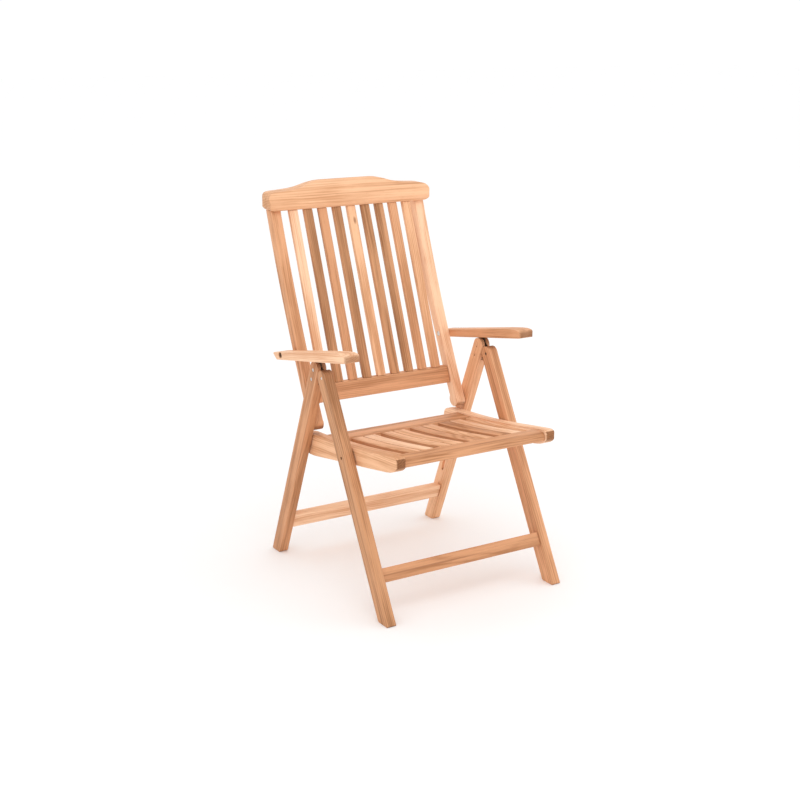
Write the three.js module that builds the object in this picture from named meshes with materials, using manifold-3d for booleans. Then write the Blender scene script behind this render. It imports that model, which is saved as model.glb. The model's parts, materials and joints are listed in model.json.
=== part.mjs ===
// Folding, reclining high-back garden armchair in teak.
// Millimetres, +Z up, feet on Z = 0. The sitter faces -Y and +X is the sitter's left.
// Every side-view outline is a list of [y, z] points, extruded across the chair along X.

import * as THREE from 'three';
import { mergeVertices } from 'three/addons/utils/BufferGeometryUtils.js';
import Module from 'manifold-3d';

const wasm = await Module();
wasm.setup();

// ---------------------------------------------------------------- driving dimensions

const GAP = 0.3; // shop clearance between two pieces that touch
const RUN = 0.4; // radial running clearance of a pivot
const FACETS = 28; // facets of a full turn

const LEG_OUTER_X = 287;
const LEG_THICK = 27.4;
const LEG_INNER_X = LEG_OUTER_X - LEG_THICK;

const REAR_LEG = { footY: 280.5, topY: 21.8, topZ: 620.1, half: 21.2 };
const FRONT_LEG = { footY: -344.1, topY: -18.9, topZ: 601.7, half: 21.4 };
const FOOT_CHAMFER = 3;

const HINGE = [FRONT_LEG.topY, FRONT_LEG.topZ]; // front leg swings about this axis
const SEAT_PIVOT = [-126, 403.3]; // seat swings on the front legs
const SLIDE_PIN = [125.8, 370.7]; // pin of the seat in the rear legs' grooves
const BACK_PIVOT = [98.4, 442.8]; // backrest swings on the rear legs
const ARM_PIVOT = [185.6, 626.3]; // armrest swings on the backrest

const FOLD_DEG = 45; // front legs, open to folded
const SEAT_PER_FOLD = -1.987; // seat turn per turn of the front legs

const PIN_R = 4.7;
const GROOVE_PLAY = 0.9;
const GROOVE_DEPTH = 8.4;

const PLATE_X = LEG_OUTER_X - LEG_THICK / 2;
const PLATE_THICK = 4;
const SLOT_WIDTH = 7;
const PLATE_SCREWS = [
  [28.7, 615],
  [40, 586.3],
];

const STILE_OUTER_X = 257.1;
const STILE_THICK = 29.9;
const STILE_DEPTH = 32.8;
const STILE_END_R = 23.1;

const SLAT_COUNT = 9;
const SLAT_PITCH = 47.7;
const SLAT_WIDTH = 27;
const SLAT_THICK = 13.9;
const SLAT_SLOPE = 0.3703;
const SLAT_FRONT_Y = -62.9; // front plane of the slats carried down to Z = 0

const LOWER_RAIL = { bottomZ: 489.9, topZ: 536.1, thick: 22.5, proud: 4.1 };
const CREST_HALF = 271.6;
const CREST_BOTTOM_Z = 1014.7;

const SEAT_RAIL_OUTER_X = 255.2;
const SEAT_RAIL_THICK = 28.7;
const SEAT_RAIL_INNER_X = SEAT_RAIL_OUTER_X - SEAT_RAIL_THICK;
const SEAT_SLAT_THICK = 13.3;
const NOSE_PLAN_R = 9.2; // round of the side rails' noses, seen from above
const SEAT_FRONT_Y = -308.5; // front ends of the seat slats
const SEAT_REAR_Y = -1; // rear ends of the seat slats

const ARM_INNER_X = 258.3;
const ARM_WIDTH = 49.2;
const ARM_THICK = 24.6;
const ARM_RISE_DEG = 10.26; // the arm climbs toward the front
const ARM_FRONT = 379.2; // pivot to front end
const ARM_REAR = 43; // pivot to rear end

// ---------------------------------------------------------------- finishes

const WOOD = { roughness: 0.62, metalness: 0 };
const FINISHES = {
  teak_frame: { color: 0xc98f5e, ...WOOD },
  teak_stile: { color: 0xc48a5a, ...WOOD },
  teak_arm: { color: 0xd09a68, ...WOOD },
  teak_seat: { color: 0xd6a374, ...WOOD },
  teak_slat_light: { color: 0xdba878, ...WOOD },
  teak_slat_mid: { color: 0xcb935f, ...WOOD },
  teak_slat_dark: { color: 0xa9714a, ...WOOD },
  steel: { color: 0xb4b6b8, roughness: 0.35, metalness: 1 },
};

// ---------------------------------------------------------------- drawing helpers

const rad = THREE.MathUtils.degToRad;

const add = (a, b) => [a[0] + b[0], a[1] + b[1]];

const along = (from, direction, length) => [
  from[0] + direction[0] * length,
  from[1] + direction[1] * length,
];

const turn = ([y, z], degrees) => {
  const c = Math.cos(rad(degrees));
  const s = Math.sin(rad(degrees));
  return [y * c - z * s, y * s + z * c];
};

// Arc of side-view points about a centre, angles in degrees from +Y towards +Z.
function arc(centre, radius, from, to, steps) {
  const points = [];
  for (let i = 0; i <= steps; i += 1) {
    const angle = from + ((to - from) * i) / steps;
    points.push(add(centre, turn([radius, 0], angle)));
  }
  return points;
}

const circle = (centre, radius) => arc(centre, radius, 0, 360, FACETS).slice(0, FACETS);

// Value at `at` on a polyline of [position, value] pairs.
function lookUp(table, at) {
  const last = table.length - 1;
  for (let i = 1; i <= last; i += 1) {
    if (at <= table[i][0] || i === last) {
      const [a0, v0] = table[i - 1];
      const [a1, v1] = table[i];
      return v0 + ((v1 - v0) * (at - a0)) / (a1 - a0);
    }
  }
  return table[last][1];
}

// ---------------------------------------------------------------- solid helpers

function toManifold(geometry) {
  geometry.deleteAttribute('normal');
  geometry.deleteAttribute('uv');
  const merged = mergeVertices(geometry, 1e-4);
  const mesh = new wasm.Mesh({
    numProp: 3,
    vertProperties: new Float32Array(merged.attributes.position.array),
    triVerts: new Uint32Array(merged.index.array),
  });
  return new wasm.Manifold(mesh);
}

function extrude(points, depth, basis) {
  const area = THREE.ShapeUtils.area(points.map(([u, v]) => new THREE.Vector2(u, v)));
  const ordered = area < 0 ? [...points].reverse() : points;
  const shape = new THREE.Shape(ordered.map(([u, v]) => new THREE.Vector2(u, v)));
  const geometry = new THREE.ExtrudeGeometry(shape, { depth, bevelEnabled: false, steps: 1 });
  return toManifold(geometry.applyMatrix4(basis));
}

// Side-view outline [y, z] extruded from x0 to x1.
function sideways(points, x0, x1) {
  const basis = new THREE.Matrix4().makeBasis(
    new THREE.Vector3(0, 1, 0),
    new THREE.Vector3(0, 0, 1),
    new THREE.Vector3(1, 0, 0),
  );
  basis.setPosition(x0, 0, 0);
  return extrude(points, x1 - x0, basis);
}

// Front-view outline [x, z] extruded from y0 to y1.
function endways(points, y0, y1) {
  const basis = new THREE.Matrix4().makeBasis(
    new THREE.Vector3(1, 0, 0),
    new THREE.Vector3(0, 0, 1),
    new THREE.Vector3(0, -1, 0),
  );
  basis.setPosition(0, y1, 0);
  return extrude(points, y1 - y0, basis);
}

// Plan outline [x, y] extruded from z0 to z1.
function upright(points, z0, z1) {
  const basis = new THREE.Matrix4().makeTranslation(0, 0, z0);
  return extrude(points, z1 - z0, basis);
}

const rod = (centre, radius, x0, x1) => sideways(circle(centre, radius), x0, x1);

const group = new THREE.Group();
group.name = 'folding_armchair';

function place(name, solid, finish) {
  const { vertProperties, triVerts, numProp } = solid.getMesh();
  const positions = new Float32Array((vertProperties.length / numProp) * 3);
  for (let i = 0; i < positions.length / 3; i += 1) {
    positions.set(vertProperties.subarray(i * numProp, i * numProp + 3), i * 3);
  }
  const geometry = new THREE.BufferGeometry();
  geometry.setAttribute('position', new THREE.BufferAttribute(positions, 3));
  geometry.setIndex(new THREE.BufferAttribute(new Uint32Array(triVerts), 1));
  geometry.computeVertexNormals();
  const mesh = new THREE.Mesh(geometry, new THREE.MeshStandardMaterial(FINISHES[finish]));
  mesh.name = name;
  group.add(mesh);
}

// A piece drawn at +X, and its mirror image at -X.
function placePair(name, solid, finish) {
  place(`${name}_left`, solid.mirror([1, 0, 0]), finish);
  place(`${name}_right`, solid, finish);
}

// ---------------------------------------------------------------- legs

const legAxis = (leg) => {
  const run = [leg.topY - leg.footY, leg.topZ];
  const length = Math.hypot(...run);
  return [run[0] / length, run[1] / length];
};

// Straight leg, cut flat on the floor and rounded over its top centre.
function legOutline(leg) {
  const axis = legAxis(leg);
  const across = [axis[1], -axis[0]];
  const floorHalf = leg.half / axis[1];
  const top = [leg.topY, leg.topZ];
  const start = (Math.atan2(across[1], across[0]) * 180) / Math.PI;
  const c = FOOT_CHAMFER;
  return [
    [leg.footY - floorHalf + c, 0],
    [leg.footY + floorHalf - c, 0],
    along([leg.footY + floorHalf, 0], axis, c),
    ...arc(top, leg.half, start, start + 180, FACETS / 2),
    along([leg.footY - floorHalf, 0], axis, c),
  ];
}

// Where the seat's sliding pin is when the front legs have turned by `fold` degrees.
function pinAt(fold) {
  const reach = [SEAT_PIVOT[0] - HINGE[0], SEAT_PIVOT[1] - HINGE[1]];
  const pivot = add(HINGE, turn(reach, fold));
  const arm = [SLIDE_PIN[0] - SEAT_PIVOT[0], SLIDE_PIN[1] - SEAT_PIVOT[1]];
  return add(pivot, turn(arm, fold * (1 + SEAT_PER_FOLD)));
}

// Groove that follows the pin from open to folded, with round ends.
function grooveOutline() {
  const radius = PIN_R + GROOVE_PLAY;
  const steps = 9;
  const path = [];
  for (let i = 0; i <= steps; i += 1) {
    path.push(pinAt((FOLD_DEG * i) / steps));
  }
  const heading = (i) => {
    const a = path[Math.max(i - 1, 0)];
    const b = path[Math.min(i + 1, steps)];
    return (Math.atan2(b[1] - a[1], b[0] - a[0]) * 180) / Math.PI;
  };
  const side = path.map((point, i) => add(point, turn([radius, 0], heading(i) - 90)));
  const other = path.map((point, i) => add(point, turn([radius, 0], heading(i) + 90)));
  const last = heading(steps);
  const first = heading(0);
  return [
    ...side,
    ...arc(path[steps], radius, last - 90, last + 90, 10).slice(1, -1),
    ...other.reverse(),
    ...arc(path[0], radius, first + 90, first + 270, 10).slice(1, -1),
  ];
}

const PLATE_OUTLINE = [
  ...arc(HINGE, 12.3, 95, 285, 12),
  [32.8, 575],
  [47.2, 577.1],
  [51.3, 589.4],
  [39, 621.1],
  [19, 650.4],
  [9.8, 650.9],
  [4.1, 627.3],
];

// Slot that lets the plate in from above and from the front leg's side.
const REAR_SLOT_OUTLINE = [
  [-36.9, 586.3],
  [30.8, 570.9],
  [50.3, 573],
  [55.4, 590.4],
  [42.1, 624.2],
  [24.6, 656],
  [-36.9, 656],
];

function frontSlotOutline() {
  const reach = 61.5;
  return [
    ...arc(HINGE, 14.9, 80, 252, 12),
    ...arc(HINGE, reach, -108, 80, 12),
  ];
}

function rearLeg() {
  const slot0 = PLATE_X - SLOT_WIDTH / 2;
  let leg = sideways(legOutline(REAR_LEG), LEG_INNER_X, LEG_OUTER_X);
  leg = leg.subtract(sideways(REAR_SLOT_OUTLINE, slot0, slot0 + SLOT_WIDTH));
  leg = leg.subtract(sideways(grooveOutline(), LEG_INNER_X - 1, LEG_INNER_X + GROOVE_DEPTH));
  leg = leg.subtract(rod(BACK_PIVOT, 4.1 + RUN, LEG_INNER_X - 1, LEG_INNER_X + 20));
  for (const screw of PLATE_SCREWS) {
    leg = leg.subtract(rod(screw, 2.5 + GAP, LEG_INNER_X - 1, LEG_OUTER_X + 1));
    leg = leg.subtract(rod(screw, 4.8 + GAP, LEG_OUTER_X - 3, LEG_OUTER_X + 1));
  }
  return leg;
}

function frontLeg() {
  const slot0 = PLATE_X - SLOT_WIDTH / 2;
  let leg = sideways(legOutline(FRONT_LEG), LEG_INNER_X, LEG_OUTER_X);
  leg = leg.subtract(sideways(frontSlotOutline(), slot0, slot0 + SLOT_WIDTH));
  leg = leg.subtract(rod(HINGE, 4.1 + GAP, LEG_INNER_X - 1, LEG_OUTER_X + 1));
  leg = leg.subtract(rod(SEAT_PIVOT, 4.1 + GAP, LEG_INNER_X - 1, LEG_OUTER_X + 1));
  return leg;
}

// Rail with its face parallel to a leg, seen from the side.
function railOutline(corner, axis, height, depth) {
  const across = [axis[1], -axis[0]];
  const far = along(corner, across, depth);
  return [corner, far, along(far, axis, height), along(corner, axis, height)];
}

function hingePlate() {
  let plate = sideways(PLATE_OUTLINE, PLATE_X - PLATE_THICK / 2, PLATE_X + PLATE_THICK / 2);
  plate = plate.subtract(rod(HINGE, 4.1 + RUN, PLATE_X - 5, PLATE_X + 5));
  for (const screw of PLATE_SCREWS) {
    plate = plate.subtract(rod(screw, 2.5 + GAP, PLATE_X - 5, PLATE_X + 5));
  }
  return plate;
}

// Countersunk-style screw or bolt: a head let into the outer face and a plain shank.
const headed = (at, shankR, headR, innerX, headX, outerX) =>
  rod(at, shankR, innerX, headX + 0.5).add(rod(at, headR, headX, outerX));

placePair('rear_leg', rearLeg(), 'teak_frame');
placePair('front_leg', frontLeg(), 'teak_frame');

const STRETCHER_HALF = LEG_INNER_X - GAP;
const REAR_STRETCHER = railOutline([227, 83.8], legAxis(REAR_LEG), 47.1, 20.5);
const FRONT_STRETCHER = railOutline([-308.8, 102.7], legAxis(FRONT_LEG), 38.2, 20.5);
place('rear_stretcher', sideways(REAR_STRETCHER, -STRETCHER_HALF, STRETCHER_HALF), 'teak_frame');
place('front_stretcher', sideways(FRONT_STRETCHER, -STRETCHER_HALF, STRETCHER_HALF), 'teak_frame');

placePair('hinge_plate', hingePlate(), 'steel');
PLATE_SCREWS.forEach((at, i) => {
  const screw = headed(at, 2.5, 4.8, LEG_INNER_X + 3, LEG_OUTER_X - 2.7, LEG_OUTER_X - 0.2);
  placePair(`plate_screw_${i + 1}`, screw, 'steel');
});
placePair('hinge_bolt', rod(HINGE, 4.1, LEG_INNER_X + 0.5, LEG_OUTER_X - 0.5), 'steel');

// ---------------------------------------------------------------- seat

// Top and bottom edges of the seat's side rails, [y, z].
const RAIL_TOP = [
  [-363.4, 446.4],
  [-360.8, 452],
  [-355.6, 456.5],
  [-347.4, 458.8],
  [-336.2, 458],
  [-321.8, 456.1],
  [-285.9, 451],
  [-249, 445.2],
  [-211.1, 439.3],
  [-152.7, 431.1],
  [-94.3, 423.7],
  [-55.3, 419.5],
  [-14.3, 415.7],
  [26.7, 412.7],
  [75.9, 409.6],
  [116.9, 407.3],
];
const RAIL_END = [
  [136.4, 403.8],
  [145.6, 395.6],
  [148.7, 384.4],
  [146.6, 366.9],
  [140.5, 355.7],
  [129.2, 347.5],
  [111.8, 344.9],
];
const RAIL_BOTTOM = [
  [86.1, 347],
  [39, 354.4],
  [-8.2, 362.4],
  [-67.6, 372.1],
  [-126, 381.3],
  [-185.5, 390.3],
  [-227.5, 397.3],
  [-269.5, 404.3],
  [-309.5, 411],
  [-330, 415.6],
  [-342.3, 420.2],
  [-352.6, 426.8],
  [-360.1, 434.6],
  [-363.2, 440.7],
];

function seatSideRail() {
  const outline = [...RAIL_TOP, ...RAIL_END, ...RAIL_BOTTOM];
  const nose = -363.8;
  const r = NOSE_PLAN_R;
  const plan = [
    [SEAT_RAIL_INNER_X, 239.9],
    ...arc([SEAT_RAIL_INNER_X + r, nose + r], r, 180, 270, 6),
    ...arc([SEAT_RAIL_OUTER_X - r, nose + r], r, 270, 360, 6),
    [SEAT_RAIL_OUTER_X, 239.9],
  ];
  let rail = sideways(outline, SEAT_RAIL_INNER_X, SEAT_RAIL_OUTER_X);
  rail = rail.intersect(upright(plan, 205, 615));
  rail = rail.subtract(rod(SEAT_PIVOT, 4.1 + RUN, SEAT_RAIL_OUTER_X - 22, SEAT_RAIL_OUTER_X + 1));
  rail = rail.subtract(rod(SLIDE_PIN, PIN_R + GAP, SEAT_RAIL_OUTER_X - 18, SEAT_RAIL_OUTER_X + 1));
  return rail;
}

// Strip of the seat's surface from y0 to y1, lying `below` under the rails' top edge.
function seatStrip(y0, y1, below, thick) {
  const steps = Math.max(2, Math.round((y1 - y0) / 40));
  const top = [];
  for (let i = 0; i <= steps; i += 1) {
    const y = y0 + ((y1 - y0) * i) / steps;
    top.push([y, lookUp(RAIL_TOP, y) - lookUp(below, y)]);
  }
  const bottom = top.map(([y, z]) => [y, z - thick]).reverse();
  return [...top, ...bottom];
}

const SEAT_DROP = [
  [SEAT_FRONT_Y, 1.2],
  [SEAT_REAR_Y, 4.1],
];

const SEAT_SLATS_HALF = [
  [10.2, 46.5],
  [49.8, 86.6],
  [107.1, 143.9],
  [147.2, 183.5],
];
const EDGE_SLAT_X = [204, SEAT_RAIL_INNER_X - GAP];
const RAIL_HALF = SEAT_RAIL_INNER_X - GAP;

const FRONT_RAIL_OUTLINE = [
  [SEAT_FRONT_Y, 453.3],
  [-336.2, 454.7],
  [-348.5, 452.5],
  [-354.6, 444.8],
  [-354.6, 432.5],
  [-351.5, 429.5],
  [-313.6, 423.8],
  [SEAT_FRONT_Y, 425.4],
];

const REAR_RAIL_DROP = [
  [SEAT_REAR_Y, 4.1],
  [75.9, 3.1],
];

placePair('seat_side_rail', seatSideRail(), 'teak_seat');
place('seat_front_rail', sideways(FRONT_RAIL_OUTLINE, -RAIL_HALF, RAIL_HALF), 'teak_seat');
const rearRail = seatStrip(SEAT_REAR_Y, 75.9, REAR_RAIL_DROP, 20.5);
place('seat_rear_rail', sideways(rearRail, -RAIL_HALF, RAIL_HALF), 'teak_seat');

const slatStrip = seatStrip(SEAT_FRONT_Y + GAP, SEAT_REAR_Y - GAP, SEAT_DROP, SEAT_SLAT_THICK);
const seatSlatSpans = [
  ...SEAT_SLATS_HALF.map(([x0, x1]) => [-x1, -x0]).reverse(),
  ...SEAT_SLATS_HALF,
];
seatSlatSpans.forEach(([x0, x1], i) => {
  place(`seat_slat_${i + 1}`, sideways(slatStrip, x0, x1), 'teak_seat');
});
placePair('seat_edge_slat', sideways(slatStrip, ...EDGE_SLAT_X), 'teak_seat');

const seatBolt = rod(SEAT_PIVOT, 4.1, SEAT_RAIL_OUTER_X - 21, LEG_OUTER_X - 3);
placePair('seat_pivot_bolt', seatBolt, 'steel');
const slidePin = rod(SLIDE_PIN, PIN_R, SEAT_RAIL_OUTER_X - 17.5, LEG_INNER_X + GROOVE_DEPTH - 0.8);
placePair('seat_slide_pin', slidePin, 'steel');

// ---------------------------------------------------------------- backrest

// Front edge of the stiles: sawn to a gentle bow.
function stileFront(z) {
  const u = (z - 768.7) / 102.5;
  return 231.1 + 42.2 * u - 1.5 * u * u;
}

function stileOutline() {
  const bottom = BACK_PIVOT[1] + 6.1;
  const top = CREST_BOTTOM_Z - GAP;
  const steps = 12;
  const front = [];
  for (let i = 0; i <= steps; i += 1) {
    const z = top + ((bottom - top) * i) / steps;
    front.push([stileFront(z), z]);
  }
  const rear = front.map(([y, z]) => [y + STILE_DEPTH, z]).reverse();
  const centre = BACK_PIVOT;
  const angleTo = ([y, z]) => (Math.atan2(z - centre[1], y - centre[0]) * 180) / Math.PI;
  const from = angleTo(front[steps]);
  const to = angleTo(rear[0]) + 360;
  const radius = Math.hypot(front[steps][0] - centre[0], front[steps][1] - centre[1]);
  const radiusTo = Math.hypot(rear[0][0] - centre[0], rear[0][1] - centre[1]);
  const end = [];
  for (let i = 1; i < 14; i += 1) {
    const t = i / 14;
    const swell = STILE_END_R - (radius + (radiusTo - radius) * t);
    const r = radius + (radiusTo - radius) * t + swell * Math.sin(Math.PI * t);
    end.push(add(centre, turn([r, 0], from + (to - from) * t)));
  }
  return [...front, ...end, ...rear];
}

function backStile() {
  const inner = STILE_OUTER_X - STILE_THICK;
  let stile = sideways(stileOutline(), inner, STILE_OUTER_X);
  stile = stile.subtract(rod(BACK_PIVOT, 4.1 + RUN, inner + 6, STILE_OUTER_X + 1));
  stile = stile.subtract(rod(ARM_PIVOT, 7 + RUN, inner - 1, STILE_OUTER_X + 1));
  return stile;
}

// Crest rail: a soft-fronted section cut to the top's outline.
const CREST_SECTION = [
  [310.1, CREST_BOTTOM_Z],
  [305.5, 1024],
  [302.4, 1033.2],
  [316.3, 1069.1],
  [321.9, 1076.2],
  [338.3, 1087.5],
  [350.6, 1092.6],
  [360.8, 1090.6],
  [367, 1082.4],
  [367, 1072.1],
  [365.5, 1055.8],
  [361.4, 1038.3],
  [354.7, 1025],
  [346.5, 1017.3],
  [338.3, 1013.7],
  [338.3, 1008.6],
  [310.1, 1008.6],
];
const CREST_HALF_OUTLINE = [
  [0, CREST_BOTTOM_Z],
  [254.2, CREST_BOTTOM_Z],
  [260.3, 1016.2],
  [265.9, 1019.9],
  [269.8, 1025.5],
  [CREST_HALF, 1032.2],
  [CREST_HALF, 1044.5],
  [270, 1051.6],
  [266.1, 1058.2],
  [260.3, 1062.9],
  [252.1, 1065.9],
  [241.9, 1067.3],
  [217.3, 1068.6],
  [184.5, 1071.1],
  [164, 1074.2],
  [143.5, 1079.3],
  [123, 1085.5],
  [102.5, 1089.6],
  [82, 1091.1],
  [0, 1091.6],
];
// Rounds of the crest's ends, seen from above.
const CREST_FRONT_R = 10.2;
const CREST_REAR_R = 22.5;

function crest() {
  const mirrored = CREST_HALF_OUTLINE.slice(1, -1).map(([x, z]) => [-x, z]).reverse();
  const outline = [...CREST_HALF_OUTLINE, ...mirrored];
  const section = sideways(CREST_SECTION, -CREST_HALF - 1, CREST_HALF + 1);
  const front = CREST_FRONT_R;
  const rear = CREST_REAR_R;
  const plan = [
    ...arc([CREST_HALF - front, 302.6 + front], front, -90, 0, 6),
    ...arc([CREST_HALF - rear, 367.5 - rear], rear, 0, 90, 8),
    ...arc([rear - CREST_HALF, 367.5 - rear], rear, 90, 180, 8),
    ...arc([front - CREST_HALF, 302.6 + front], front, 180, 270, 6),
  ];
  return section
    .intersect(endways(outline, 291.1, 393.6))
    .intersect(upright(plan, 922.5, 1127.5));
}

// Slanted strip parallel to the slats: `ahead` is how far its front stands before theirs.
function backStrip(z0, z1, ahead, thick) {
  const depth = thick * Math.hypot(1, SLAT_SLOPE);
  const front = (z) => SLAT_FRONT_Y + SLAT_SLOPE * z - ahead;
  return [
    [front(z0), z0],
    [front(z0) + depth, z0],
    [front(z1) + depth, z1],
    [front(z1), z1],
  ];
}

placePair('back_stile', backStile(), 'teak_stile');
place('back_crest', crest(), 'teak_slat_mid');
const lower = backStrip(LOWER_RAIL.bottomZ, LOWER_RAIL.topZ, LOWER_RAIL.proud, LOWER_RAIL.thick);
const lowerHalf = STILE_OUTER_X - STILE_THICK - GAP;
place('back_lower_rail', sideways(lower, -lowerHalf, lowerHalf), 'teak_stile');

const SLAT_TONES = [
  'teak_slat_light', 'teak_slat_mid', 'teak_slat_mid', 'teak_slat_mid', 'teak_slat_light',
  'teak_slat_dark', 'teak_slat_dark', 'teak_slat_mid', 'teak_slat_light',
];
const slatOutline = backStrip(LOWER_RAIL.topZ + GAP, CREST_BOTTOM_Z - GAP, 0, SLAT_THICK);
for (let i = 0; i < SLAT_COUNT; i += 1) {
  const x = (i - (SLAT_COUNT - 1) / 2) * SLAT_PITCH;
  const slat = sideways(slatOutline, x - SLAT_WIDTH / 2, x + SLAT_WIDTH / 2);
  place(`back_slat_${i + 1}`, slat, SLAT_TONES[i]);
}

const backBolt = rod(BACK_PIVOT, 4.1, STILE_OUTER_X - STILE_THICK + 7, LEG_INNER_X + 19);
placePair('back_pivot_bolt', backBolt, 'steel');
const backSpacer = rod(BACK_PIVOT, 9, STILE_OUTER_X + GAP, LEG_INNER_X - GAP)
  .subtract(rod(BACK_PIVOT, 4.1 + RUN, 0, 400));
placePair('back_spacer', backSpacer, 'steel');

// ---------------------------------------------------------------- arms

// Point on the arm: `run` forward of the pivot along the arm, `rise` square to it.
function armPoint(run, rise) {
  return add(ARM_PIVOT, turn([-run, rise], -ARM_RISE_DEG));
}

const ARM_LOW = -12.8; // underside, square to the arm from the pivot
const CHANNEL = { from: 151.7, to: 299.3, depth: 12.3, width: 10.2 };
const RACK = { from: 153.8, to: 297.2, thick: 3.4, width: 9.2, pitch: 20, tooth: 1.6 };

// Top of the arm, [run forward of the pivot, rise above its lowest line].
const ARM_CROWN = [
  [-38.9, ARM_THICK - 3.6],
  [20.5, ARM_THICK - 2.7],
  [112.7, ARM_THICK - 1.2],
  [205, ARM_THICK + 0.6],
  [276.8, ARM_THICK + 1.8],
  [325.9, ARM_THICK + 1.6],
  [346.4, ARM_THICK + 0.4],
  [358.7, ARM_THICK - 1.8],
  [368, ARM_THICK - 5.1],
  [375.1, ARM_THICK - 9.6],
];
const ARM_PLAN_R = 15.4;

function armrest() {
  const profile = [
    ...ARM_CROWN.map(([run, rise]) => armPoint(run, ARM_LOW + rise)),
    armPoint(ARM_FRONT - 0.8, ARM_LOW + 10.9),
    armPoint(ARM_FRONT, ARM_LOW + 6.7),
    armPoint(ARM_FRONT - 1.6, ARM_LOW + 2.9),
    armPoint(ARM_FRONT - 5.1, ARM_LOW + 0.6),
    armPoint(ARM_FRONT - 11.3, ARM_LOW),
    armPoint(-24.6, ARM_LOW),
    armPoint(-ARM_REAR, ARM_LOW + ARM_THICK - 7.2),
  ];
  const x0 = ARM_INNER_X;
  const x1 = ARM_INNER_X + ARM_WIDTH;
  const r = ARM_PLAN_R;
  const frontY = armPoint(ARM_FRONT, ARM_LOW + 10.2)[0];
  const plan = [
    ...arc([x0 + r, frontY + r], r, 180, 270, 6),
    ...arc([x1 - r, frontY + r], r, 270, 360, 6),
    [x1, 260.4],
    [x0, 260.4],
  ];
  let arm = sideways(profile, x0, x1).intersect(upright(plan, 512.5, 820));
  const channel = [
    armPoint(CHANNEL.to, ARM_LOW - 5),
    armPoint(CHANNEL.to, ARM_LOW + CHANNEL.depth),
    armPoint(CHANNEL.from, ARM_LOW + CHANNEL.depth),
    armPoint(CHANNEL.from, ARM_LOW - 5),
  ];
  const half = CHANNEL.width / 2;
  arm = arm.subtract(sideways(channel, PLATE_X - half, PLATE_X + half));
  arm = arm.subtract(rod(ARM_PIVOT, 4.1 + RUN, x0 - 1, x1 + 1));
  arm = arm.subtract(rod(ARM_PIVOT, 9.2, x1 - 8.2, x1 + 1));
  return arm;
}

// Notched strip on the channel's roof: the plate's tongue catches in it.
function armRack() {
  const roof = ARM_LOW + CHANNEL.depth - GAP;
  const low = roof - RACK.thick;
  const points = [armPoint(RACK.from, roof), armPoint(RACK.to, roof)];
  const teeth = Math.floor((RACK.to - RACK.from) / RACK.pitch);
  points.push(armPoint(RACK.to, low));
  for (let i = teeth - 1; i >= 1; i -= 1) {
    const at = RACK.from + i * RACK.pitch;
    points.push(armPoint(at + 4, low));
    points.push(armPoint(at + 4, low + RACK.tooth));
    points.push(armPoint(at - 4, low));
  }
  points.push(armPoint(RACK.from, low));
  return sideways(points, PLATE_X - RACK.width / 2, PLATE_X + RACK.width / 2);
}

placePair('armrest', armrest(), 'teak_arm');
placePair('arm_rack', armRack(), 'steel');

const armOuter = ARM_INNER_X + ARM_WIDTH;
const stileInner = STILE_OUTER_X - STILE_THICK;
const armBolt = headed(ARM_PIVOT, 4.1, 8.2, stileInner + 1, armOuter - 7.8, armOuter - 4);
placePair('arm_bolt', armBolt, 'steel');
const armSpacer = rod(ARM_PIVOT, 7, stileInner + 1, ARM_INNER_X - GAP)
  .subtract(rod(ARM_PIVOT, 4.1 + RUN, 0, 400));
placePair('arm_spacer', armSpacer, 'steel');

export default group;
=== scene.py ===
"""Folding, reclining garden armchair in oiled teak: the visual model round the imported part.

Metres, +Z up, the sitter faces -Y. Each wooden piece is made from the true sawn shape of its
part, softened along every arris, and grained along its own length.
"""

from __future__ import annotations

import json
import logging
import math
from dataclasses import dataclass, field
from enum import Enum

import bpy
from mathutils import Matrix, Vector

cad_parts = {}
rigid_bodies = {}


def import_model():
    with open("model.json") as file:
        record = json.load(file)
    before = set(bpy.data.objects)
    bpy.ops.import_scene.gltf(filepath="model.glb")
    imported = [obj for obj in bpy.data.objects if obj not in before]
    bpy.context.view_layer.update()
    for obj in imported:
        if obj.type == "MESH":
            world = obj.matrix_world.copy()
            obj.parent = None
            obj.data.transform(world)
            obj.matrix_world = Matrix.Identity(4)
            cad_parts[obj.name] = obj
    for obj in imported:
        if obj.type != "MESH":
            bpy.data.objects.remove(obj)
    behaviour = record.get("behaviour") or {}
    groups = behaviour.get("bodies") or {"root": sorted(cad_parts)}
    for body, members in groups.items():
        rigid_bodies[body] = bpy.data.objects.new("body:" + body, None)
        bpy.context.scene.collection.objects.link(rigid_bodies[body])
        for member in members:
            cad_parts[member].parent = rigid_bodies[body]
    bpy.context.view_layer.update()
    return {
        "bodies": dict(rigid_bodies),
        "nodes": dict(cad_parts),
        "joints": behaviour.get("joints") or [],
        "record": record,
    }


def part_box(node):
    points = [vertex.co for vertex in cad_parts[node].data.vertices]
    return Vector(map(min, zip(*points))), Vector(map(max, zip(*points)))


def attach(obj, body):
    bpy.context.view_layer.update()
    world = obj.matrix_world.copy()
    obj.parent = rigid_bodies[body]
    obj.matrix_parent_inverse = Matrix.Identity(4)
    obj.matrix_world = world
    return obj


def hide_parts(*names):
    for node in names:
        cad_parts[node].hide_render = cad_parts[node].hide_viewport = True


LOG = logging.getLogger("armchair")

Number = float | int
Triple = tuple[float, float, float]
Colour = tuple[float, float, float, float]

SIDES = ("left", "right")


# ------------------------------------------------------------------------- shader building


def linear(hexcode: str) -> Colour:
    """Convert a display colour to the linear colour that shaders use.

    Args:
        hexcode: six hex digits, such as "d69d74".

    Returns:
        Red, green, blue and alpha, linear.
    """
    parts = [int(hexcode[i : i + 2], 16) / 255 for i in (0, 2, 4)]
    made = [c / 12.92 if c <= 0.04045 else ((c + 0.055) / 1.055) ** 2.4 for c in parts]
    return (made[0], made[1], made[2], 1.0)


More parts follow.
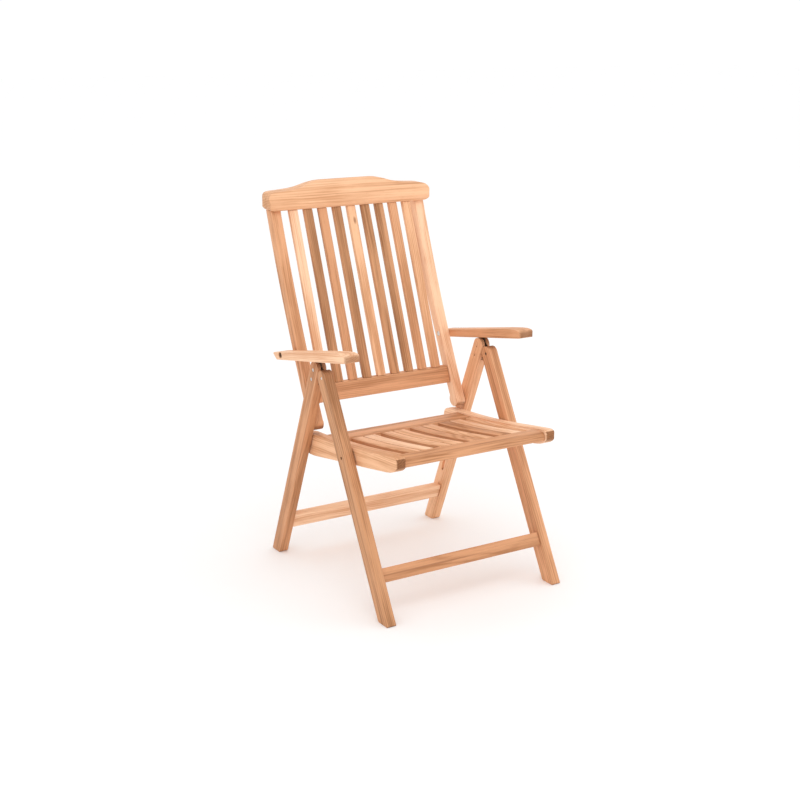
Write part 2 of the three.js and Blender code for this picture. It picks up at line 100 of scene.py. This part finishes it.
class Wire:
    """One output socket, with arithmetic that adds the Math nodes it needs."""

    def __init__(self, tree: ShaderTree, socket: bpy.types.NodeSocket) -> None:
        """Keep the tree and the socket."""
        self.tree = tree
        self.socket = socket

    def _math(self, operation: str, *others: Wire | Number, flip: bool = False) -> Wire:
        """Add a Math node.

        Args:
            operation: the node's operation.
            others: the further operands.
            flip: put this wire after the first other operand.

        Returns:
            The node's value.
        """
        operands = [self, *others]
        if flip:
            operands[0], operands[1] = operands[1], operands[0]
        inputs = dict(enumerate(operands))
        return self.tree.add("ShaderNodeMath", {"operation": operation}, inputs)

    def __add__(self, other: Wire | Number) -> Wire:
        """Sum."""
        return self._math("ADD", other)

    __radd__ = __add__

    def __sub__(self, other: Wire | Number) -> Wire:
        """Difference."""
        return self._math("SUBTRACT", other)

    def __rsub__(self, other: Wire | Number) -> Wire:
        """Reflected difference."""
        return self._math("SUBTRACT", other, flip=True)

    def __mul__(self, other: Wire | Number) -> Wire:
        """Product."""
        return self._math("MULTIPLY", other)

    __rmul__ = __mul__

    def __pow__(self, other: Wire | Number) -> Wire:
        """Power."""
        return self._math("POWER", other)

    def root(self) -> Wire:
        """Square root."""
        return self._math("SQRT")

    def sine(self) -> Wire:
        """Sine, of radians."""
        return self._math("SINE")

    def size(self) -> Wire:
        """Absolute value."""
        return self._math("ABSOLUTE")

    def ramp(self, low: float, high: float) -> Wire:
        """Rise smoothly from 0 to 1.

        Args:
            low: the value where the result is 0.
            high: the value where the result is 1; it may be the lower of the two.

        Returns:
            The result, clamped.
        """
        start, end = (low, high) if low < high else (high, low)
        settings = {"interpolation_type": "SMOOTHSTEP"}
        inputs = {"Value": self, "From Min": start, "From Max": end}
        risen = self.tree.add("ShaderNodeMapRange", settings, inputs)
        return risen if low < high else 1 - risen

    def dot(self, direction: Triple) -> Wire:
        """Dot product of this vector with a fixed one.

        Args:
            direction: the fixed vector.

        Returns:
            The product.
        """
        settings = {"operation": "DOT_PRODUCT"}
        return self.tree.add("ShaderNodeVectorMath", settings, {0: self, 1: direction}, "Value")


class ShaderTree:
    """The node tree of one material."""

    def __init__(self, name: str) -> None:
        """Start an empty material of that name."""
        self.material = bpy.data.materials.new(name)
        self.material.use_nodes = True
        self.nodes = self.material.node_tree.nodes
        self.links = self.material.node_tree.links
        self.nodes.clear()

    def add(
        self,
        kind: str,
        settings: dict[str, object],
        inputs: dict[str | int, Wire | object],
        output: str | int = 0,
    ) -> Wire:
        """Add a node.

        Args:
            kind: the node's type.
            settings: its properties, set before its sockets.
            inputs: values or wires by socket name or number.
            output: the output socket to hand back.

        Returns:
            That output.
        """
        node = self.nodes.new(kind)
        for key, value in settings.items():
            setattr(node, key, value)
        for key, value in inputs.items():
            if isinstance(value, Wire):
                self.links.new(value.socket, node.inputs[key])
            else:
                node.inputs[key].default_value = value
        return Wire(self, node.outputs[output])

    def coordinates(self, output: str = "Object") -> Wire:
        """Object coordinates, or another output of the same node."""
        return self.add("ShaderNodeTexCoord", {}, {}, output)

    def point(self, x: Wire | Number, y: Wire | Number, z: Wire | Number) -> Wire:
        """A vector from three values."""
        return self.add("ShaderNodeCombineXYZ", {}, {0: x, 1: y, 2: z})

    def noise(self, at: Wire, scale: float, detail: float = 2.0, rough: float = 0.5) -> Wire:
        """Smooth noise between 0 and 1.

        Args:
            at: where to read it.
            scale: its scale.
            detail: octaves.
            rough: strength of the finer octaves.

        Returns:
            The noise.
        """
        inputs = {"Vector": at, "Scale": scale, "Detail": detail, "Roughness": rough}
        return self.add("ShaderNodeTexNoise", {"noise_dimensions": "3D"}, inputs)

    def mix(self, amount: Wire | Number, low: Wire | Colour, high: Wire | Colour) -> Wire:
        """Mix two colours.

        Args:
            amount: 0 for the first colour, 1 for the second.
            low: the first colour.
            high: the second colour.

        Returns:
            The mixed colour.
        """
        inputs = {0: amount, 6: low, 7: high}
        return self.add("ShaderNodeMix", {"data_type": "RGBA"}, inputs, 2)

    def surface(self, constants: dict[str, object], varying: dict[str, Wire]) -> None:
        """Finish the material with one Principled surface.

        Args:
            constants: values set on the shader's own sockets.
            varying: what changes over the surface.
        """
        shader = self.add("ShaderNodeBsdfPrincipled", {}, {**constants, **varying})
        output = self.nodes.new("ShaderNodeOutputMaterial")
        self.links.new(shader.socket, output.inputs["Surface"])


# ------------------------------------------------------------------------- finishes


class Grain(Enum):
    """Which way a piece's grain runs, as a unit vector."""

    ACROSS = (1.0, 0.0, 0.0)
    REAR_LEG = (0.0, -0.3850, 0.9229)
    FRONT_LEG = (0.0, 0.4754, 0.8798)
    STILE = (0.0, 0.3811, 0.9245)
    BACK = (0.0, 0.3473, 0.9378)
    SEAT = (0.0, -0.9937, 0.1121)
    ARM = (0.0, -0.9840, 0.1781)

    def frame(self) -> tuple[Triple, Triple, Triple]:
        """The grain direction and two directions square to it.

        Returns:
            Along, across and through, as unit vectors.
        """
        run = Vector(self.value)
        across = Vector((0.0, 1.0, 0.0)) if self is Grain.ACROSS else Vector((1.0, 0.0, 0.0))
        through = run.cross(across)
        return tuple(run), tuple(across), tuple(through)


class Tone(Enum):
    """Pale, dark and end-grain colours of one board."""

    PALE = ("fcd0ab", "dda379", "b87a4e")
    WARM = ("f6c197", "cd9266", "a96d42")
    MIDDLE = ("e6ab80", "ba8056", "96603a")
    DEEP = ("d39a6f", "9f6c45", "80502f")
    RUSSET = ("db9f74", "aa7249", "875433")


def darkened(colour: Colour, share: float) -> Colour:
    """Darken a linear colour.

    Args:
        colour: the linear colour.
        share: how much of its brightness stays.

    Returns:
        The darker colour.
    """
    red, green, blue, alpha = colour
    return (red * share, green * share, blue * share, alpha)


@dataclass(frozen=True)
class Knot:
    """A small knot in a board, drawn out along the grain, which swirls round it."""

    place: Triple
    radius: float
    heart: str = "8a5632"
    strength: float = 0.7
    squeeze: float = 0.42
    swirl_radii: float = 3.0
    swirl: float = 0.011

    def near(self, at: Wire, grain: Grain, radii: float) -> Wire:
        """How near a point is to the knot.

        Args:
            at: the point.
            grain: which way the board's grain runs.
            radii: how many radii the result reaches.

        Returns:
            1 in the knot's heart, 0 outside its reach.
        """
        squares = []
        for direction, squeeze in zip(grain.frame(), (self.squeeze, 1.0, 1.0)):
            middle = Vector(self.place).dot(Vector(direction))
            away = (at.dot(direction) - middle) * squeeze
            squares.append(away * away)
        distance = (squares[0] + squares[1] + squares[2]).root()
        reach = self.radius * radii
        return distance.ramp(reach, reach * 0.25)


@dataclass(frozen=True)
class Spacing:
    """How closely one kind of mark is set, per metre along the grain and across it."""

    along: float
    across: float
    detail: float = 2.0
    rough: float = 0.5


@dataclass(frozen=True)
class Place:
    """A point in a board: how far along, across and through the grain, and its tree."""

    tree: ShaderTree
    along: Wire
    side: Wire
    deep: Wire

    def marks(self, spacing: Spacing) -> Wire:
        """Noise drawn out along the grain.

        Args:
            spacing: how closely the marks are set.

        Returns:
            The noise, between 0 and 1.
        """
        across = spacing.across
        at = self.tree.point(self.along * spacing.along, self.side * across, self.deep * across)
        return self.tree.noise(at, 1.0, spacing.detail, spacing.rough)


@dataclass(frozen=True)
class Figure:
    """The marks of teak and how strongly each one darkens the wood."""

    wander: Spacing = Spacing(2.6, 14.0, 3.0)
    bands: Spacing = Spacing(2.2, 46.0, 3.0, 0.55)
    streaks: Spacing = Spacing(7.0, 330.0, 3.0, 0.6)
    patches: Spacing = Spacing(6.0, 24.0)
    fibres: Spacing = Spacing(38.0, 1500.0)
    mineral: Spacing = Spacing(1.1, 85.0, 1.0)
    saw_marks: float = 420.0
    late_wood_power: float = 2.6
    ring_wander: float = 0.026
    ring_taper: float = 0.014
    band_depth: float = 0.60
    ring_depth: float = 0.36
    least_ring_depth: float = 0.10
    streak_depth: float = 0.95
    patch_depth: float = 0.5
    mineral_depth: float = 0.55
    pore_depth: float = 0.35


@dataclass(frozen=True)
class Teak:
    """Oiled teak of one board, cut from its own place in the log.

    The figure comes from growth rings round a pith line that lies beside the board, so that
    faces show long lines and end grain shows arcs of the same rings.
    """

    tone: Tone
    grain: Grain
    seed: int
    ring_pitch: float = 0.0052
    streak: float = 1.0
    # Painted shade: how far the sides of seat slats, down in the gaps between them, are
    # darkened towards deep brown.
    gap_side_shade: float = 0.0
    cut_shade: float = 0.6
    knot: Knot | None = None
    figure: Figure = Figure()

    def material(self, name: str) -> bpy.types.Material:
        """Build the board's material.

        Args:
            name: the material's name.

        Returns:
            The material.
        """
        tree = ShaderTree(name)
        run, across, through = self.grain.frame()
        at = tree.coordinates()
        offset = self.seed * 0.731
        place = Place(
            tree,
            at.dot(run) + offset,
            at.dot(across) + offset * 0.37,
            at.dot(through) + offset * 0.53,
        )
        late = self._late_wood(place, at, offset)
        streaks = place.marks(self.figure.streaks)
        pores = place.marks(self.figure.fibres).ramp(0.60, 0.74)
        wood = self._face_colour(place, at, late, streaks, pores)

        # Painted shade: faces turned across the grain, which are the slat sides down in the
        # gaps, are darkened towards deep brown to stand for the shade between the slats.
        if self.gap_side_shade > 0.0:
            gap_side_facing = tree.coordinates("Normal").dot(across).size()
            wood = tree.mix(gap_side_facing.ramp(0.6, 0.95) * self.gap_side_shade, wood, linear("9c5f33"))
        cut = tree.coordinates("Normal").dot(run).size().ramp(0.3, 0.8)
        wood = tree.mix(cut * self.cut_shade, wood, self._end_colour(tree, at, late))

        roughness = 0.50 + streaks * 0.14 + pores * 0.10 + cut * 0.12
        height = streaks * 0.35 + late * 0.25 - pores * 0.6
        relief = {"Strength": 0.28, "Distance": 0.0006, "Height": height}
        bump = tree.add("ShaderNodeBump", {}, relief)
        tree.surface(
            {"Specular IOR Level": 0.32},
            {"Base Color": wood, "Roughness": roughness, "Normal": bump},
        )
        return tree.material

    def _late_wood(self, place: Place, at: Wire, offset: float) -> Wire:
        """The dark part of each growth ring.

        Args:
            place: the point in the board.
            at: the point in the chair.
            offset: how far this board lies from the first in the log.

        Returns:
            0 in the pale wood of a ring, 1 at its dark edge.
        """
        figure = self.figure
        pith_side = offset * 0.37 + 0.05 * math.sin(self.seed * 1.9)
        pith_deep = offset * 0.53 - 0.11 - 0.03 * math.cos(self.seed * 2.7)
        away_side = place.side - pith_side
        away_deep = place.deep - pith_deep
        reach = (away_side * away_side + away_deep * away_deep).root()
        wander = place.marks(figure.wander) - 0.5
        reach = reach + wander * figure.ring_wander + place.along * figure.ring_taper
        if self.knot is not None:
            near = self.knot.near(at, self.grain, self.knot.swirl_radii)
            reach = reach + near * self.knot.swirl
        rings = (reach * (2 * math.pi / self.ring_pitch)).sine() * 0.5 + 0.5
        return rings**figure.late_wood_power

    def _face_colour(
        self, place: Place, at: Wire, late: Wire, streaks: Wire, pores: Wire
    ) -> Wire:
        """The colour of the board's faces.

        Args:
            place: the point in the board.
            at: the point in the chair.
            late: the dark part of each ring.
            streaks: fine streaks along the grain.
            pores: the open pores.

        Returns:
            The colour.
        """
        figure, tree = self.figure, place.tree
        pale, deepest, end = (linear(code) for code in self.tone.value)
        patches = place.marks(figure.patches)
        ring_depth = patches.ramp(0.35, 0.65) * figure.ring_depth + figure.least_ring_depth
        bands = place.marks(figure.bands).ramp(0.34, 0.66)
        loose = (streaks - 0.5) * figure.streak_depth + (patches - 0.5) * figure.patch_depth
        dark = (bands * figure.band_depth + late * ring_depth + loose) * self.streak
        wood = tree.mix(dark.ramp(-0.05, 0.95), pale, deepest)
        mineral = place.marks(figure.mineral).ramp(0.64, 0.80)
        wood = tree.mix(mineral * figure.mineral_depth, wood, end)
        wood = tree.mix(pores * figure.pore_depth, wood, end)
        if self.knot is not None:
            core = self.knot.near(at, self.grain, 1.0)
            wood = tree.mix(core * self.knot.strength, wood, linear(self.knot.heart))
        return wood

    def _end_colour(self, tree: ShaderTree, at: Wire, late: Wire) -> Wire:
        """The colour of the sawn ends.

        Args:
            tree: the tree to build in.
            at: the point in the chair.
            late: the dark part of each ring.

        Returns:
            The colour.
        """
        end = linear(self.tone.value[2])
        rough_sawn = tree.noise(at, self.figure.saw_marks, 3.0, 0.6).ramp(0.4, 0.65)
        marks = late * 0.4 + rough_sawn * 0.6
        return tree.mix(marks, darkened(end, 0.8), darkened(end, 0.35))


@dataclass(frozen=True)
class Steel:
    """Zinc-plated steel of the hinge plates, bolts, screws and pins."""

    colour: str = "e4e2de"
    tarnish: str = "b2aea7"
    roughness: float = 0.42

    def material(self, name: str) -> bpy.types.Material:
        """Build the metal.

        Args:
            name: the material's name.

        Returns:
            The material.
        """
        tree = ShaderTree(name)
        at = tree.coordinates()
        cloud = tree.noise(at, 160.0, 3.0)
        scratch = tree.noise(tree.point(at.dot((0, 900, 0)), at.dot((0, 0, 90)), 0.0), 1.0)
        worn = cloud.ramp(0.45, 0.75) * 0.6 + scratch.ramp(0.55, 0.8) * 0.3
        colour = tree.mix(worn, linear(self.colour), linear(self.tarnish))
        tree.surface(
            {"Metallic": 1.0},
            {"Base Color": colour, "Roughness": self.roughness + cloud * 0.16},
        )
        return tree.material


# Painted shade: steel coloured dark brown for the hinge plates down in their slots and for bolt
# ends in their holes. The darkness stands for the shade there, not for a finish.
SHADE_DARKENED_STEEL = Steel(colour="5b4a3d", tarnish="33261d", roughness=0.5)


# ------------------------------------------------------------------------- bench


@dataclass
class Bench:
    """Makes finished pieces from the parts' sawn shapes and puts them on their bodies."""

    frame: dict[str, object]
    smooth_degrees: float = 32.0
    merge: float = 0.00002
    flat_degrees: float = 0.4
    bodies: dict[str, str] = field(default_factory=dict)

    def __post_init__(self) -> None:
        """Note which body each part rides on."""
        for body, names in self.frame["record"]["behaviour"]["bodies"].items():
            for name in names:
                self.bodies[name] = body

    @staticmethod
    def deselect() -> None:
        """Deselect everything."""
        for thing in bpy.context.view_layer.objects:
            thing.select_set(False)

    def pick(self, piece: bpy.types.Object) -> None:
        """Select one piece alone and make it active."""
        self.deselect()
        piece.select_set(True)
        bpy.context.view_layer.objects.active = piece

    def copy_shape(self, part: str, name: str) -> bpy.types.Object:
        """Copy a part's shape into a new piece whose flat faces are whole.

        Args:
            part: the part's name.
            name: the new piece's name.

        Returns:
            The new piece.
        """
        source = self.frame["nodes"][part]
        mesh = source.data.copy()
        mesh.name = name
        piece = bpy.data.objects.new(name, mesh)
        bpy.context.scene.collection.objects.link(piece)
        mesh.materials.clear()
        self.pick(piece)
        bpy.ops.object.mode_set(mode="EDIT")
        bpy.ops.mesh.select_all(action="SELECT")
        bpy.ops.mesh.customdata_custom_splitnormals_clear()
        bpy.ops.mesh.remove_doubles(threshold=self.merge)
        bpy.ops.mesh.dissolve_limited(angle_limit=math.radians(self.flat_degrees))
        bpy.ops.mesh.normals_make_consistent(inside=False)
        bpy.ops.object.mode_set(mode="OBJECT")
        return piece

    def soften(
        self, piece: bpy.types.Object, radius: float, steps: int = 3, crisp: float = 35.0
    ) -> None:
        """Round every arris of a piece.

        Args:
            piece: the piece.
            radius: the round's width.
            steps: its facets.
            crisp: the smallest angle, in degrees, that counts as an arris.
        """
        self.pick(piece)
        bevel = piece.modifiers.new("arris", "BEVEL")
        bevel.width = radius
        bevel.segments = steps
        bevel.limit_method = "ANGLE"
        bevel.angle_limit = math.radians(crisp)
        bevel.use_clamp_overlap = True
        bevel.miter_outer = "MITER_ARC"
        bpy.ops.object.modifier_apply(modifier=bevel.name)
        smooth = math.radians(min(self.smooth_degrees, crisp))
        bpy.ops.object.shade_smooth_by_angle(angle=smooth)

    def finish(self, piece: bpy.types.Object, material: bpy.types.Material, part: str) -> None:
        """Dress a piece and let it stand for its part.

        Args:
            piece: the piece.
            material: its finish.
            part: the part it stands for.
        """
        piece.data.materials.clear()
        piece.data.materials.append(material)
        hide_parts(part)
        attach(piece, self.bodies[part])
        LOG.info("%s: %d faces", piece.name, len(piece.data.polygons))

    def board(
        self, part: str, teak: Teak, radius: float, crisp: float = 35.0
    ) -> bpy.types.Object:
        """Make one wooden piece.

        Args:
            part: the part it stands for.
            teak: its wood.
            radius: the round on its arrises.
            crisp: the smallest angle, in degrees, that counts as an arris.

        Returns:
            The piece.
        """
        piece = self.copy_shape(part, f"{part}_teak")
        self.soften(piece, radius, crisp=crisp)
        self.finish(piece, teak.material(f"teak_of_{part}"), part)
        return piece

    def fitting(self, part: str, steel: Steel, radius: float = 0.0004) -> bpy.types.Object:
        """Make one metal piece.

        Args:
            part: the part it stands for.
            steel: its metal.
            radius: the round on its edges.

        Returns:
            The piece.
        """
        piece = self.copy_shape(part, f"{part}_steel")
        self.soften(piece, radius, 2)
        self.finish(piece, steel.material(f"steel_of_{part}"), part)
        return piece


# ------------------------------------------------------------------------- sub-assemblies


@dataclass
class RearFrame:
    """The rear legs, their stretcher and the steel plates let into the leg tops."""

    bench: Bench
    arris: float = 0.0022
    legs: tuple[Teak, Teak] = (
        Teak(Tone.RUSSET, Grain.REAR_LEG, 3),
        Teak(Tone.WARM, Grain.REAR_LEG, 8),
    )
    stretcher: Teak = Teak(Tone.PALE, Grain.ACROSS, 14)

    def build(self) -> None:
        """Make the legs, stretcher, plates and screws."""
        for side, leg in zip(SIDES, self.legs):
            self.bench.board(f"rear_leg_{side}", leg, self.arris)
            self.bench.fitting(f"hinge_plate_{side}", SHADE_DARKENED_STEEL)
        self.bench.board("rear_stretcher", self.stretcher, self.arris)
        heads = ScrewHeads(self.bench)
        for side in SIDES:
            heads.build(f"plate_screw_1_{side}", side)
            heads.build(f"plate_screw_2_{side}", side)


@dataclass
class ScrewHeads:
    """Cross-recessed screws whose heads are let into the outer faces of the legs."""

    bench: Bench
    arm_width: float = 0.0011
    arm_reach: float = 0.0028
    depth: float = 0.0012

    def build(self, part: str, side: str) -> bpy.types.Object:
        """Make one screw.

        Args:
            part: the part it stands for.
            side: "left" or "right", the side its head faces.

        Returns:
            The screw.
        """
        low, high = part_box(part)
        outward = -1.0 if side == "left" else 1.0
        face = low[0] if side == "left" else high[0]
        centre = Vector((face, (low[1] + high[1]) / 2, (low[2] + high[2]) / 2))
        piece = self.bench.copy_shape(part, f"{part}_steel")
        self.bench.soften(piece, 0.0006, 2)
        for turned in (False, True):
            self._cut(piece, centre, outward, turned)
        self.bench.finish(piece, Steel().material(f"steel_of_{part}"), part)
        return piece

    def _cut(
        self, piece: bpy.types.Object, centre: Vector, outward: float, turned: bool
    ) -> None:
        """Cut one arm of the recess.

        Args:
            piece: the screw.
            centre: the middle of its head's face.
            outward: the sign of the direction the head faces.
            turned: cut the second arm, square to the first.
        """
        wide = (self.arm_width, self.arm_reach * 2)
        size = (self.depth * 2, *(wide[::-1] if turned else wide))
        self.bench.deselect()
        bpy.ops.mesh.primitive_cube_add(size=1.0, location=centre)
        cutter = bpy.context.active_object
        cutter.scale = size
        self.bench.pick(cutter)
        bpy.ops.object.transform_apply(location=True, rotation=True, scale=True)
        self.bench.pick(piece)
        recess = piece.modifiers.new("recess", "BOOLEAN")
        recess.object = cutter
        recess.operation = "DIFFERENCE"
        recess.solver = "EXACT"
        bpy.ops.object.modifier_apply(modifier=recess.name)
        bpy.data.objects.remove(cutter, do_unlink=True)


@dataclass
class FrontFrame:
    """The front legs, which swing on the hinge bolts, and their stretcher."""

    bench: Bench
    arris: float = 0.0022
    legs: tuple[Teak, Teak] = (
        Teak(Tone.DEEP, Grain.FRONT_LEG, 21),
        Teak(Tone.MIDDLE, Grain.FRONT_LEG, 5),
    )
    hinge_bolts: tuple[Steel, Steel] = (Steel(), SHADE_DARKENED_STEEL)
    stretcher: Teak = Teak(Tone.RUSSET, Grain.ACROSS, 17, streak=0.7)

    def build(self) -> None:
        """Make the legs, stretcher and bolts."""
        for side, leg, hinge_bolt in zip(SIDES, self.legs, self.hinge_bolts):
            self.bench.board(f"front_leg_{side}", leg, self.arris)
            self.bench.fitting(f"hinge_bolt_{side}", hinge_bolt)
            self.bench.fitting(f"seat_pivot_bolt_{side}", SHADE_DARKENED_STEEL)
        self.bench.board("front_stretcher", self.stretcher, self.arris)


@dataclass
class Seat:
    """The seat frame and the slats laid front to back in it."""

    bench: Bench
    arris: float = 0.0026
    slat_arris: float = 0.0020
    slat_tones: tuple[Tone, ...] = (
        Tone.WARM,
        Tone.PALE,
        Tone.WARM,
        Tone.WARM,
        Tone.MIDDLE,
        Tone.WARM,
        Tone.RUSSET,
        Tone.PALE,
    )

    rails: tuple[Teak, Teak] = (
        Teak(Tone.WARM, Grain.SEAT, 31, cut_shade=1.0),
        Teak(Tone.PALE, Grain.SEAT, 36, cut_shade=1.0),
    )
    rail_crisp: float = 24.0
    edge_slats: tuple[Teak, Teak] = (
        Teak(Tone.WARM, Grain.SEAT, 33),
        Teak(Tone.WARM, Grain.SEAT, 38),
    )
    front_rail: Teak = Teak(Tone.RUSSET, Grain.ACROSS, 41)
    rear_rail: Teak = Teak(Tone.MIDDLE, Grain.ACROSS, 44, streak=1.25)
    seed_before_slats: int = 50

    def build(self) -> None:
        """Make the rails, slats and slide pins."""
        for side, rail, edge in zip(SIDES, self.rails, self.edge_slats):
            self.bench.board(f"seat_side_rail_{side}", rail, self.arris, self.rail_crisp)
            self.bench.board(f"seat_edge_slat_{side}", edge, self.slat_arris)
            self.bench.fitting(f"seat_slide_pin_{side}", Steel())
        self.bench.board("seat_front_rail", self.front_rail, self.arris)
        self.bench.board("seat_rear_rail", self.rear_rail, self.slat_arris)
        for number, tone in enumerate(self.slat_tones, start=1):
            # Each slat gets painted shade on its sides down in the gaps.
            teak = Teak(tone, Grain.SEAT, self.seed_before_slats + number, gap_side_shade=0.5)
            self.bench.board(f"seat_slat_{number}", teak, self.slat_arris)


@dataclass
class Backrest:
    """The bowed stiles, the crest, the lower rail and nine straight slats."""

    bench: Bench
    arris: float = 0.0024
    crest_arris: float = 0.0032
    slat_tones: tuple[Tone, ...] = (
        Tone.PALE,
        Tone.DEEP,
        Tone.RUSSET,
        Tone.DEEP,
        Tone.WARM,
        Tone.DEEP,
        Tone.DEEP,
        Tone.MIDDLE,
        Tone.WARM,
    )

    stiles: tuple[Teak, Teak] = (
        Teak(Tone.MIDDLE, Grain.STILE, 61),
        Teak(Tone.PALE, Grain.STILE, 67),
    )
    crest: Teak = Teak(Tone.WARM, Grain.ACROSS, 71, 0.0075, streak=0.8, cut_shade=0.25)
    crest_crisp: float = 22.0
    lower_rail: Teak = Teak(Tone.MIDDLE, Grain.ACROSS, 75)
    seed_before_slats: int = 80
    knotty_slat: int = 5

    def build(self) -> None:
        """Make the stiles, rails, slats and pivots."""
        for side, stile in zip(SIDES, self.stiles):
            self.bench.board(f"back_stile_{side}", stile, self.arris)
            self.bench.fitting(f"back_pivot_bolt_{side}", Steel())
            self.bench.fitting(f"back_spacer_{side}", Steel())
        self.bench.board("back_crest", self.crest, self.crest_arris, self.crest_crisp)
        self.bench.board("back_lower_rail", self.lower_rail, self.arris)
        for number, tone in enumerate(self.slat_tones, start=1):
            knot = self._knot() if number == self.knotty_slat else None
            teak = Teak(tone, Grain.BACK, self.seed_before_slats + number, knot=knot)
            self.bench.board(f"back_slat_{number}", teak, self.arris)

    def _knot(self) -> Knot:
        """The one knot, on its slat's front face near the top.

        Returns:
            The knot.
        """
        _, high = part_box(f"back_slat_{self.knotty_slat}")
        across, behind_top, below_top = 0.003, 0.030, 0.042
        return Knot((across, high[1] - behind_top, high[2] - below_top), 0.0065)


@dataclass
class Arms:
    """The armrests with their racks, sleeves and bolts."""

    bench: Bench
    arris: float = 0.0030
    crisp: float = 28.0
    rests: tuple[Teak, Teak] = (
        Teak(Tone.PALE, Grain.ARM, 91, cut_shade=0.7),
        Teak(Tone.MIDDLE, Grain.ARM, 96, cut_shade=0.7),
    )
    bolts: tuple[Steel, Steel] = (SHADE_DARKENED_STEEL, Steel())

    def build(self) -> None:
        """Make both arms and their fittings."""
        for side, rest, bolt in zip(SIDES, self.rests, self.bolts):
            self.bench.board(f"armrest_{side}", rest, self.arris, self.crisp)
            self.bench.fitting(f"arm_bolt_{side}", bolt)
            for fitting in ("arm_rack", "arm_spacer"):
                self.bench.fitting(f"{fitting}_{side}", Steel())


# ------------------------------------------------------------------------- studio


@dataclass(frozen=True)
class SoftLamp:
    """One square area lamp."""

    name: str
    at: Triple
    width: float
    watts: float
    aim: Triple = (0.0, 0.0, 0.5)

    def hang(self) -> None:
        """Hang the lamp so that it looks at its aim."""
        data = bpy.data.lights.new(self.name, "AREA")
        data.size = self.width
        data.energy = self.watts
        lamp = bpy.data.objects.new(self.name, data)
        bpy.context.scene.collection.objects.link(lamp)
        look = (Vector(self.aim) - Vector(self.at)).to_track_quat("-Z", "Y")
        lamp.matrix_world = Matrix.Translation(self.at) @ look.to_matrix().to_4x4()


@dataclass
class Studio:
    """Pale floor, soft light and the camera."""

    camera_at: Triple = (-2.0229, -3.2321, 1.5658)
    azimuth: float = 31.75
    pitch: float = 15.69
    roll: float = 0.17
    lens: float = 62.33
    floor_width: float = 60.0
    floor_drop: float = 0.0005
    sky_strength: float = 1.03
    lamps: tuple[SoftLamp, ...] = (
        SoftLamp("key", (-1.2, -2.6, 3.4), 3.0, 24.0),
        SoftLamp("fill", (3.2, -1.4, 2.6), 2.4, 9.0),
    )

    def build(self) -> None:
        """Make the camera, floor, sky and lamps."""
        self._camera()
        self._floor()
        self._sky()
        for lamp in self.lamps:
            lamp.hang()

    def _camera(self) -> None:
        """Stand the camera in front, to the left and above the seat."""
        data = bpy.data.cameras.new("camera")
        data.sensor_width = 36.0
        data.lens = self.lens
        data.clip_end = 200.0
        camera = bpy.data.objects.new("camera", data)
        bpy.context.scene.collection.objects.link(camera)
        turn = Matrix.Rotation(math.radians(-self.azimuth), 4, "Z")
        tilt = Matrix.Rotation(math.radians(90 - self.pitch), 4, "X")
        lean = Matrix.Rotation(math.radians(self.roll), 4, "Z")
        camera.matrix_world = Matrix.Translation(self.camera_at) @ turn @ tilt @ lean
        bpy.context.scene.camera = camera

    def _floor(self) -> None:
        """Lay the floor."""
        Bench.deselect()
        middle = (0.0, 0.0, -self.floor_drop)
        bpy.ops.mesh.primitive_plane_add(size=self.floor_width, location=middle)
        floor = bpy.context.active_object
        floor.name = "studio_floor"
        tree = ShaderTree("studio_floor")
        tree.surface({"Base Color": linear("fcfcfc"), "Roughness": 0.9}, {})
        floor.data.materials.append(tree.material)

    def _sky(self) -> None:
        """Light everything softly from all round."""
        world = bpy.data.worlds.new("studio_sky")
        world.use_nodes = True
        sky = world.node_tree.nodes["Background"]
        sky.inputs["Color"].default_value = (1.0, 1.0, 1.0, 1.0)
        sky.inputs["Strength"].default_value = self.sky_strength
        bpy.context.scene.world = world
        bpy.context.scene.view_settings.view_transform = "Standard"


def main() -> None:
    """Build the chair and its studio."""
    logging.basicConfig(level=logging.INFO, format="%(message)s")
    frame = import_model()
    bench = Bench(frame)
    for assembly in (RearFrame, FrontFrame, Seat, Backrest, Arms):
        assembly(bench).build()
        LOG.info("%s is done", assembly.__name__)
    Studio().build()


if __name__ == "__main__":
    main()
